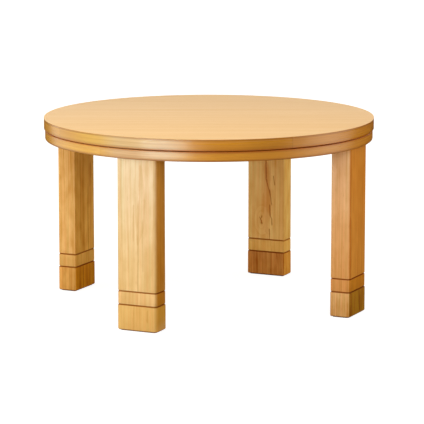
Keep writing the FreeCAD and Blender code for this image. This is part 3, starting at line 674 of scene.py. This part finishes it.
shortWoods = {
    "front": {
        "wide": (0.734, 0.474, 0.216), "narrow": (0.443, 0.185, 0.012),
        "seed": (2.2, 7.5, 3.1), "pith": (30, 80), "contrast": 1.0, "corner": (-7, 9),
        "marks": [
            ("stain", [(2.4, 88), (2.5, 58)], 2.4, 0.55),
            ("stain", [(8.6, 88), (8.7, 58)], 2.4, 0.5),
        ],
    },
    "right": {
        "wide": (0.465, 0.184, 0.012), "narrow": (0.694, 0.327, 0.104),
        "seed": (5.1, 8.8, 0.3), "pith": (-60, 70), "contrast": 1.2, "corner": (-2, 2), "marks": [],
    },
    "back": {
        "wide": (0.814, 0.456, 0.126), "narrow": (0.920, 0.564, 0.160),
        "seed": (7.2, 3.4, 0.8), "pith": (14, -80), "contrast": 1.3,
        "marks": [("stain", [(-12.5, 88), (-15, 58)], 3.0, 0.6)],
    },
    "left": {
        "wide": (0.816, 0.467, 0.108), "narrow": (0.706, 0.399, 0.131),
        "seed": (3.9, 1.7, 6.2), "pith": (-46, 75), "contrast": 1.2, "marks": [],
    },
}
tallWoods = {
    "front": {
        "wide": (0.701, 0.435, 0.157), "narrow": (0.556, 0.290, 0.037),
        "seed": (6.1, 0.9, 4.4), "pith": (-12, 120), "contrast": 0.7, "corner": (-7, 9),
        "marks": [
            ("stain", [(-6.7, 58), (-6.7, 6.5)], 3.0, 0.35),
            ("stain", [(26.3, 47.9), (26, 24.4)], 3.0, 0.4),
        ],
    },
    "right": {
        "wide": (0.352, 0.175, 0.012), "narrow": (0.711, 0.414, 0.174),
        "seed": (0.7, 6.6, 5.8), "pith": (20, -66), "contrast": 2.2, "corner": (-2, 2),
        "marks": [
            ("stain", [(-37.9, 58), (-36.3, 8.7)], 5.0, 0.8),
            ("crack", [(6, 58), (10, 13.2)], 6.5, 0.7),
            ("stain", [(27, 58), (24, 20)], 9.0, 0.8),
        ],
    },
    "back": {
        "wide": (0.562, 0.233, 0.050), "narrow": (0.809, 0.424, 0.081),
        "seed": (8.4, 4.2, 7.7), "pith": (-40, -60), "contrast": 2.4, "marks": [],
    },
    "left": {
        "wide": (0.644, 0.288, 0.012), "narrow": (0.642, 0.318, 0.083),
        "seed": (2.9, 9.3, 1.2), "pith": (52, -70), "contrast": 2.2,
        "marks": [
            ("crack", [(10.6, 58), (9.2, 4.2)], 3.0, 0.8),
            ("stain", [(-9.4, 53.5), (-11.5, 8.7)], 4.0, 0.6),
        ],
    },
}
blockGrain = {  # patches per metre across, through and along the block, then detail and roughness
    "sway": ((10.0, 10.0, 2.4), 2.0),
    "drift": ((16.0, 16.0, 3.2), 2.0),
    "jitter": ((45.0, 45.0, 50.0), 2.0),
    "fray": ((45.0, 45.0, 50.0), 3.0),
    "streaks": ((120.0, 120.0, 1.3), 4.0, 0.7),
    "strokes": ((330.0, 330.0, 7.0), 3.0, 0.6),
    "mottle": ((55.0, 55.0, 24.0), 2.0),
    "patches": ((26.0, 26.0, 3.0), 2.0),
    "fibres": ((1300.0, 1300.0, 26.0), 3.0, 0.6),
    "flecks": ((700.0, 700.0, 60.0), 1.0),
    "hues": ((170.0, 170.0, 2.0), 3.0, 0.6),
}
blockRings = {
    "width": 4.4 * mm,
    "sway": 12.0 * mm,                # how far the rings wander across and through the block
    "drift": 8.0 * mm,
    "knotSize": (11.0 * mm, 26.0 * mm),
    "knotBend": 12.0 * mm,
}
blockFinish = {
    "corner": (-3, 3),                # millimetres round the corner from the wide to the narrow face
    "tone": {"middle": 0.38, "streaks": 1.5, "strokes": 1.0, "patches": 0.8, "mottle": 0.9,
             "latewood": 0.26, "fibres": 0.35},
    "hueLevels": (-0.22, 0.22),       # of the noise, from the first tint to the second
    "fleckLevels": (0.18, 0.26),
    "fleckDepth": 0.30,
    "markWander": {"middle": 0.0, "drift": 4.0 * mm, "jitter": 3.0 * mm},
    "markFray": {"middle": 1.0, "fray": 1.8},
    "markCore": 0.1,                  # share of a mark's width at full strength
    "markTaper": 0.5,                 # how fast a mark narrows past its ends
    "markBreaks": {"stain": 0.45, "crack": 0.75},  # strength left where a mark is broken
    "breakLevels": (-0.25, 0.15),
    # painted shade in the grooves at the block's ends
    "grooveSpan": (blocks["chamfer"] * 0.6, blocks["chamfer"] + 0.5 * mm),
    "grooveDepth": 0.9,
    "roughness": {"middle": 0.38, "patches": 0.14, "streaks": 0.12, "groove": 0.25},
    "relief": {"middle": 0.0, "fibres": 0.6, "ring": -0.35, "pits": -0.5},
    "bump": (0.07, 0.25 * mm),        # strength and distance
    "gloss": 0.07,
    "brightest": 0.95,                # no channel of a tone goes above this
}
blockTints = {  # factors on a wood's tone
    "light": (1.08, 1.12, 1.18),
    "deep": (0.85, 0.74, 0.55),
    "pink": (1.035, 0.965, 0.92),
    "green": (0.98, 1.02, 0.96),
    "fleck": (0.60, 0.42, 0.26),
    "stain": (0.74, 0.50, 0.26),
    "crack": (0.47, 0.22, 0.06),
    # painted shade in the grooves
    "groove": (0.46, 0.24, 0.09),
}


def tinted(wood, tint):  # the wide and narrow faces' tones, further apart where the grain has more contrast
    factors = [1 + (factor - 1) * wood["contrast"] for factor in blockTints[tint]]
    return [tuple(min(part, blockFinish["brightest"]) for part in shaded(wood[face], factors))
            for face in ("wide", "narrow")]


def markLine(look, across, z, points, width, fray):  # a stain or crack that wanders along the grain
    near = None
    for (x0, z0), (x1, z1) in zip(points, points[1:]):
        line = look.node("ShaderNodeMapRange", {"interpolation_type": "LINEAR"}, {
            "Value": z, "From Min": z1 * mm, "From Max": z0 * mm, "To Min": x1 * mm, "To Max": x0 * mm})
        outside = look.math("MAXIMUM", look.math("MAXIMUM", z - z0 * mm, z1 * mm - z), 0.0)
        apart = abs(across - line) + outside * blockFinish["markTaper"]
        near = apart if near is None else look.math("MINIMUM", near, apart)
    return look.step(near / fray, width * blockFinish["markCore"], width, 1.0, 0.0)


def ringsOf(look, wood, x, y, z, parts):
    fromPithX = x - wood["pith"][0] * mm + parts["sway"] * blockRings["sway"]
    fromPithY = y - wood["pith"][1] * mm + parts["drift"] * blockRings["drift"]
    radius = (fromPithX * fromPithX + fromPithY * fromPithY) ** 0.5
    knotWidth, knotHeight = blockRings["knotSize"]
    for knotX, knotZ in wood.get("knots", ()):  # the rings bend round a knot
        awayX = (x - knotX * mm) / knotWidth
        awayZ = (z - knotZ * mm) / knotHeight
        bend = look.math("EXPONENT", (awayX * awayX + awayZ * awayZ) * -1.0)
        radius = radius + bend * blockRings["knotBend"]
    return look.math("FRACT", radius / blockRings["width"])


def marked(look, wood, colour, x, z, sideways, parts):  # stains and cracks on the wide faces
    across = x + weighted(parts, blockFinish["markWander"])
    fray = weighted(parts, blockFinish["markFray"])
    cover = parts["strokes"] + parts["patches"]
    broken = {kind: look.step(cover, *blockFinish["breakLevels"], left, 1.0)
              for kind, left in blockFinish["markBreaks"].items()}
    for kind, points, width, strength in wood["marks"]:
        line = markLine(look, across, z, points, width * mm, fray)
        amount = line * broken[kind] * (1 - sideways) * strength
        colour = look.mix(amount, colour, shaded(wood["wide"], blockTints[kind]))
    return colour


def blockLook(name, turn, wood, bottom, top, halfWidth, halfDepth):
    look = Look(name)
    local = look.place(turn=-turn, move=(0, -legMiddle, 0))  # x across, y from outside to inside, z up
    x, y, z = look.axes(local)
    parts = look.textures(look.vector("ADD", local, wood["seed"]), blockGrain)
    parts["ring"] = ringsOf(look, wood, x, y, z, parts)
    parts["latewood"] = parts["ring"] ** 3.0
    near, far = wood.get("corner", blockFinish["corner"])
    # the wide and narrow faces' tones hold painted light and shade; sideways passes from one to the other
    sideways = look.step((abs(x) - halfWidth) - (abs(y) - halfDepth), near * mm, far * mm)
    light = look.mix(sideways, *tinted(wood, "light"))
    deep = look.mix(sideways, *tinted(wood, "deep"))
    colour = look.mix(weighted(parts, blockFinish["tone"]), light, deep)
    hue = look.step(parts["hues"], *blockFinish["hueLevels"])
    colour = look.mix(1.0, colour, look.mix(hue, blockTints["pink"], blockTints["green"]), "MULTIPLY")
    # painted light and shade along the block's length
    if "paintedFade" in wood:
        height = look.step(z, legLow.z, legHigh.z)
        ends = (look.mix(height, *wood["paintedFade"][face]) for face in ("wide", "narrow"))
        colour = look.mix(1.0, colour, look.mix(sideways, *ends), "MULTIPLY")
    parts["pits"] = look.step(parts["flecks"], *blockFinish["fleckLevels"])
    fleck = shaded(wood["wide"], blockTints["fleck"])
    colour = look.mix(parts["pits"] * blockFinish["fleckDepth"], colour, fleck)
    colour = marked(look, wood, colour, x, z, sideways, parts)
    # painted shade in the grooves where blocks meet and at the foot's bottom edge
    toEnd = look.math("MINIMUM", z - bottom, top - z)
    parts["groove"] = look.step(toEnd, *blockFinish["grooveSpan"], 1.0, 0.0)
    floors = (shaded(wood[face], blockTints["groove"]) for face in ("wide", "narrow"))
    colour = look.mix(parts["groove"] * blockFinish["grooveDepth"], colour, look.mix(sideways, *floors))
    return look.finish(Base_Color=colour, Roughness=weighted(parts, blockFinish["roughness"]),
                       Specular_IOR_Level=blockFinish["gloss"],
                       Normal=look.bump(weighted(parts, blockFinish["relief"]), *blockFinish["bump"]))


def sawnBlock(low, high, grow, lowerChamfer, upperChamfer, softening=blocks["softening"]):
    mesh = slab(low, high)
    upright = uprightEdges(mesh)
    outside = [edge for edge in upright if edge.verts[0].co.y < legMiddle]
    inside = [edge for edge in upright if edge.verts[0].co.y > legMiddle]
    bevelled(mesh, outside, blocks["outerRound"] + grow, blocks["outerSteps"])
    inside = [edge for edge in inside if edge.is_valid]
    bevelled(mesh, inside, blocks["innerRound"] + grow, blocks["innerSteps"])
    for level, size in ((low.z, lowerChamfer), (high.z, upperChamfer)):
        if size:
            bevelled(mesh, endFace(mesh, level).edges[:], size, 1)
    softened(mesh, softening)
    return mesh


def endFace(mesh, level):
    flat = [face for face in mesh.faces if abs(face.calc_center_median().z - level) < hair]
    return max(flat, key=lambda face: face.calc_area())


def bored(mesh, level, depth, radius):  # two blind bores for the plug pins; depth is positive upwards
    face = endFace(mesh, level)
    rim = list(face.edges)
    bmesh.ops.delete(mesh, geom=[face], context="FACES_ONLY")
    rings = []
    for x in (-blocks["pinSpread"], blocks["pinSpread"]):
        made = bmesh.ops.create_circle(mesh, segments=blocks["boreSegments"], radius=radius,
                                       matrix=Matrix.Translation((x, legMiddle, level)))
        rings.append(list({edge for vert in made["verts"] for edge in vert.link_edges}))
    bmesh.ops.triangle_fill(mesh, edges=rim + rings[0] + rings[1], use_beauty=True)
    for ring in rings:
        wall = bmesh.ops.extrude_edge_only(mesh, edges=ring)["geom"]
        bmesh.ops.translate(mesh, vec=(0, 0, depth), verts=onlyVerts(wall))
        endEdges = [part for part in wall if isinstance(part, bmesh.types.BMEdge) and part.is_boundary]
        bmesh.ops.contextual_create(mesh, geom=endEdges)


def buildLegs():
    shortLow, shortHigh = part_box("short_riser_front")
    grow = (footHigh.x - footLow.x) / 2 - legHalfWidth
    outOfReach = 1.0  # metres, so that a leg has no painted groove shade where it meets the board
    for side, turn in sides.items():
        leg = sawnBlock(legLow, legHigh, 0.0, blocks["chamfer"], 0.0)
        bored(leg, legLow.z, blocks["sleeveBoreDepth"], blocks["sleeveBore"])
        short = sawnBlock(shortLow, shortHigh, 0.0, blocks["chamfer"], blocks["chamfer"])
        bored(short, shortLow.z, blocks["sleeveBoreDepth"], blocks["sleeveBore"])
        bored(short, shortHigh.z, -blocks["pinBoreDepth"], blocks["pinBore"])
        tall = sawnBlock(footLow, footHigh, grow, blocks["footChamfer"], blocks["chamfer"])
        bored(tall, footHigh.z, -blocks["pinBoreDepth"], blocks["pinBore"])
        shortBody = f"short_riser_{side}_body"
        tallBody = f"tall_riser_{side}_body"
        made = (
            ("leg", leg, legWoods, legLow, legHigh, "frame", "leg_wood", outOfReach),
            ("short_riser", short, shortWoods, shortLow, shortHigh, shortBody, "leg_wood", 0.0),
            ("tall_riser", tall, tallWoods, footLow, footHigh, tallBody, "foot_wood", 0.0),
        )
        for name, mesh, woods, low, high, body, slot, above in made:
            turnAbout(mesh, turn)
            half = (high - low) / 2
            look = blockLook(f"{name}Wood{side.title()}", turn, woods[side], low.z, high.z + above,
                             half.x, half.y)
            piece(f"{name}_block_{side}", mesh, look, body, slot, f"{name}_{side}")


buildLegs()
print("legs and risers built")


# Looks of boards, metal, mouldings and fibre

def paperLook():
    return grainedLook("backingPaper", {
        "light": (0.62, 0.42, 0.22),
        "dark": (0.47, 0.29, 0.13),
        "grain": {"streaks": ((3.0, 60.0, 1.0), 3.0, 0.6), "fibres": ((160.0, 420.0, 160.0), 3.0, 0.6)},
        "tone": {"middle": 0.4, "streaks": 0.8, "fibres": 0.5},
        "roughness": {"middle": 0.62, "fibres": 0.2},
        "relief": {"middle": 0.0, "fibres": 1.0},
        "bump": (0.10, 0.1 * mm),
    }, turn=-topFace["grainTurn"])


def boardLook():
    return grainedLook("pressedBoard", {
        "light": (0.60, 0.41, 0.22),
        "dark": (0.38, 0.22, 0.10),
        "grain": {"chips": ((420.0, 420.0, 700.0), 4.0, 0.65), "shades": ((45.0,) * 3, 3.0)},
        "tone": {"middle": 0.45, "chips": 1.4, "shades": 0.4},
        "roughness": {"middle": 0.66, "chips": 0.3},
        "relief": {"middle": 0.0, "chips": 1.0},
        "bump": (0.18, 0.2 * mm),
    })


def metalLook(name, light, dark, roughness, metallic=1.0, scale=900.0):
    return grainedLook(name, {
        "light": light,
        "dark": dark,
        "grain": {"specks": ((scale,) * 3, 3.0, 0.6), "clouds": ((60.0,) * 3, 3.0)},
        "tone": {"middle": 0.5, "specks": 0.6, "clouds": 0.8},
        "roughness": {"middle": roughness, "specks": 0.16, "clouds": 0.14},
        "relief": {"middle": 0.0, "specks": 1.0},
        "bump": (0.06, 0.05 * mm),
    }, Metallic=metallic)


def mouldedLook(name, colour, roughness, scale=2200.0):
    return grainedLook(name, {
        "light": shaded(colour, (1.1,) * 3),
        "dark": shaded(colour, (0.88,) * 3),
        "grain": {"fine": ((scale,) * 3, 2.0), "clouds": ((90.0,) * 3, 2.0)},
        "tone": {"middle": 0.5, "fine": 0.5, "clouds": 0.5},
        "roughness": {"middle": roughness, "fine": 0.2},
        "relief": {"middle": 0.0, "fine": 1.0},
        "bump": (0.12, 0.05 * mm),
    })


def fleeceLook(name, light, dark, scale, depth):  # felt, flock and needled fibre
    return grainedLook(name, {
        "light": light,
        "dark": dark,
        "grain": {"hairs": ((scale,) * 3, 5.0, 0.7), "tufts": ((scale / 9,) * 3, 3.0, 0.6)},
        "tone": {"middle": 0.5, "hairs": 1.3, "tufts": 0.6},
        "roughness": {"middle": 0.93, "hairs": 0.1},
        "relief": {"middle": 0.0, "hairs": 1.0, "tufts": 1.0},
        "bump": (0.5, depth),
    }, Specular_IOR_Level=0.15, Sheen_Weight=0.25, Sheen_Roughness=0.5)


def sleevingLook():
    look = Look("glassSleeving")
    strands = 4200.0  # radians of braid per metre
    x, y, z = look.axes(look.place())
    braid = look.math("SINE", (x + y + z) * strands) * look.math("SINE", (x - y - z) * strands)
    colour = look.mix(0.5 + braid * 0.4, (0.78, 0.75, 0.68), (0.56, 0.53, 0.46))
    return look.finish(Base_Color=colour, Roughness=0.7 + braid * 0.1,
                       Normal=look.bump(braid, 0.3, 0.1 * mm))


def micaLook():
    look = Look("micaSheet")
    point = look.place()
    flakes = look.node("ShaderNodeTexVoronoi", None, {"Vector": point, "Scale": 160.0}, "Distance")
    clouds = look.noise(point, (50.0,) * 3, 3.0)
    colour = look.mix(flakes * 0.7 + clouds * 0.4, (0.72, 0.62, 0.45), (0.46, 0.36, 0.22))
    return look.finish(Base_Color=colour, Roughness=0.35 + flakes * 0.25,
                       Normal=look.bump(flakes, 0.15, 0.1 * mm))


# Felt feet, grip pads under the tabletop and the heater's glass felt

softParts = {
    "footEdge": 0.7 * mm,
    "footFelt": ((0.34, 0.24, 0.15), (0.17, 0.11, 0.07), 1500.0, 0.5 * mm),
    "gripCount": 8,
    "gripRadius": 325.0 * mm,
    "gripDiameter": 22.0 * mm,
    "gripSegments": 48,
    "gripEdge": 0.55 * mm,
    "gripEdgeSteps": 3,
    "gripMoulding": ((0.42, 0.34, 0.25), 0.55, 1200.0),
    "feltCuts": 26,
    "feltCorner": 7.0 * mm,
    "feltCornerSteps": 4,
    "feltEdge": 1.6 * mm,
    "feltSag": 1.1 * mm,         # how far the hollows of the needled felt go in
    "feltPatch": 0.035,          # metres from one hollow to the next
    "feltFibre": ((0.86, 0.85, 0.80), (0.66, 0.65, 0.60), 900.0, 1.0 * mm),
    "crease": 60.0,              # degrees, below which a soft edge is shaded smooth
}


def buildFootPads():
    low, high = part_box("foot_pad_front")
    felt = fleeceLook("feltPad", *softParts["footFelt"])
    for side, turn in sides.items():
        mesh = sawnBlock(low, high, 0.0, 0.0, 0.0, softParts["footEdge"])
        turnAbout(mesh, turn)
        piece(f"felt_foot_{side}", mesh, felt, f"tall_riser_{side}_body", "felt", f"foot_pad_{side}",
              crease=softParts["crease"])


def buildGripPads():
    low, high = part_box("top_pads")
    mesh = bmesh.new()
    for number in range(softParts["gripCount"]):
        angle = math.tau * (number + 0.5) / softParts["gripCount"]
        spot = Matrix.Rotation(angle, 4, "Z") @ Matrix.Translation((softParts["gripRadius"], 0, low.z))
        addDisc(mesh, spot, softParts["gripDiameter"] / 2, high.z - low.z, softParts["gripSegments"])
    bmesh.ops.recalc_face_normals(mesh, faces=mesh.faces)
    softened(mesh, softParts["gripEdge"], softParts["gripEdgeSteps"])
    grip = mouldedLook("gripPad", *softParts["gripMoulding"])
    piece("grip_pads", mesh, grip, "frame", "grip_pad", "top_pads", crease=softParts["crease"])


def buildGlassFelt():
    low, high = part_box("heater_insulation")
    mesh = slab(low, high)
    bevelled(mesh, uprightEdges(mesh), softParts["feltCorner"], softParts["feltCornerSteps"])
    softened(mesh, softParts["feltEdge"])
    for axis, size in ((0, high.x - low.x), (1, high.y - low.y)):
        for cut in range(1, softParts["feltCuts"]):
            spot = Vector((0, 0, 0))
            spot[axis] = low[axis] + size * cut / softParts["feltCuts"]
            across = Vector((1 - axis, axis, 0))
            bmesh.ops.bisect_plane(mesh, geom=mesh.verts[:] + mesh.edges[:] + mesh.faces[:], plane_co=spot,
                                   plane_no=across)
    middle = (low.z + high.z) / 2
    for vert in mesh.verts:  # uneven faces, kept inside the pressed slab
        hollow = 0.5 + 0.5 * noise.noise(vert.co / softParts["feltPatch"])
        vert.co.z += math.copysign(hollow * softParts["feltSag"], middle - vert.co.z)
    fibre = fleeceLook("needledGlass", *softParts["feltFibre"])
    piece("glass_felt_slab", mesh, fibre, "frame", "glass_felt", "heater_insulation",
          crease=softParts["crease"])


buildFootPads()
buildGripPads()
buildGlassFelt()
print("felt and grip pads built")


# Hardware and heater, which keep their CAD shapes

metals = {  # light and dark tones, roughness, then metallic and specks per metre where they differ
    "zincPlate": ((0.66, 0.67, 0.68), (0.50, 0.51, 0.53), 0.32),
    "turnedSteel": ((0.62, 0.61, 0.60), (0.46, 0.46, 0.46), 0.26),
    "powderedBracket": ((0.055, 0.052, 0.050), (0.032, 0.030, 0.029), 0.50, 0.0, 1600.0),
    "galvanisedTray": ((0.64, 0.65, 0.66), (0.44, 0.45, 0.46), 0.40, 1.0, 240.0),
    "heaterAluminium": ((0.76, 0.76, 0.77), (0.60, 0.60, 0.61), 0.34),
    "ribbonAlloy": ((0.42, 0.38, 0.34), (0.26, 0.23, 0.20), 0.36),
    "brassPin": ((0.74, 0.56, 0.27), (0.58, 0.41, 0.18), 0.28),
}
mouldings = {  # colour and roughness
    "nylonSleeve": ((0.70, 0.67, 0.60), 0.46),
    "blackMoulding": ((0.022, 0.022, 0.023), 0.44),
    "whiteMoulding": ((0.72, 0.71, 0.68), 0.42),
    "phenolicBody": ((0.11, 0.055, 0.030), 0.38),
}
guardFlock = ((0.090, 0.058, 0.042), (0.030, 0.019, 0.014), 2600.0, 0.3 * mm)
riserPins = [f"{height}_riser_pins_{side}" for side in sides for height in ("short", "tall")]
riserSleeves = [f"short_riser_sleeves_{side}" for side in sides]
hardware = {  # the nodes that have each finish
    "zincPlate": ["leg_bolts", "leg_inserts", "bracket_screws", "heater_screws"],
    "turnedSteel": riserPins,
    "powderedBracket": ["leg_brackets"],
    "galvanisedTray": ["heater_tray"],
    "heaterAluminium": ["heater_radiator_plate"],
    "ribbonAlloy": ["heater_ribbon"],
    "brassPin": ["inlet_pins"],
    "nylonSleeve": ["leg_sleeves"] + riserSleeves,
    "blackMoulding": ["power_inlet"],
    "whiteMoulding": ["terminal_block", "thermal_fuse"],
    "phenolicBody": ["thermostat"],
    "flockedGuard": ["heater_guard"],
    "pressedBoard": ["base_board", "tabletop_core"],
    "backingPaper": ["tabletop_backing"],
    "micaSheet": ["heater_element_panel"],
    "glassSleeving": ["heater_leads"],
}


def dressNodes():
    finishes = {
        "flockedGuard": fleeceLook("flockedGuard", *guardFlock),
        "pressedBoard": boardLook(),
        "backingPaper": paperLook(),
        "micaSheet": micaLook(),
        "glassSleeving": sleevingLook(),
    }
    for name, tones in metals.items():
        finishes[name] = metalLook(name, *tones)
    for name, tones in mouldings.items():
        finishes[name] = mouldedLook(name, *tones)
    for finish, nodes in hardware.items():
        for node in nodes:
            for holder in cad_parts[node].material_slots:
                holder.material = finishes[finish]


dressNodes()
print("hardware and heater finished")
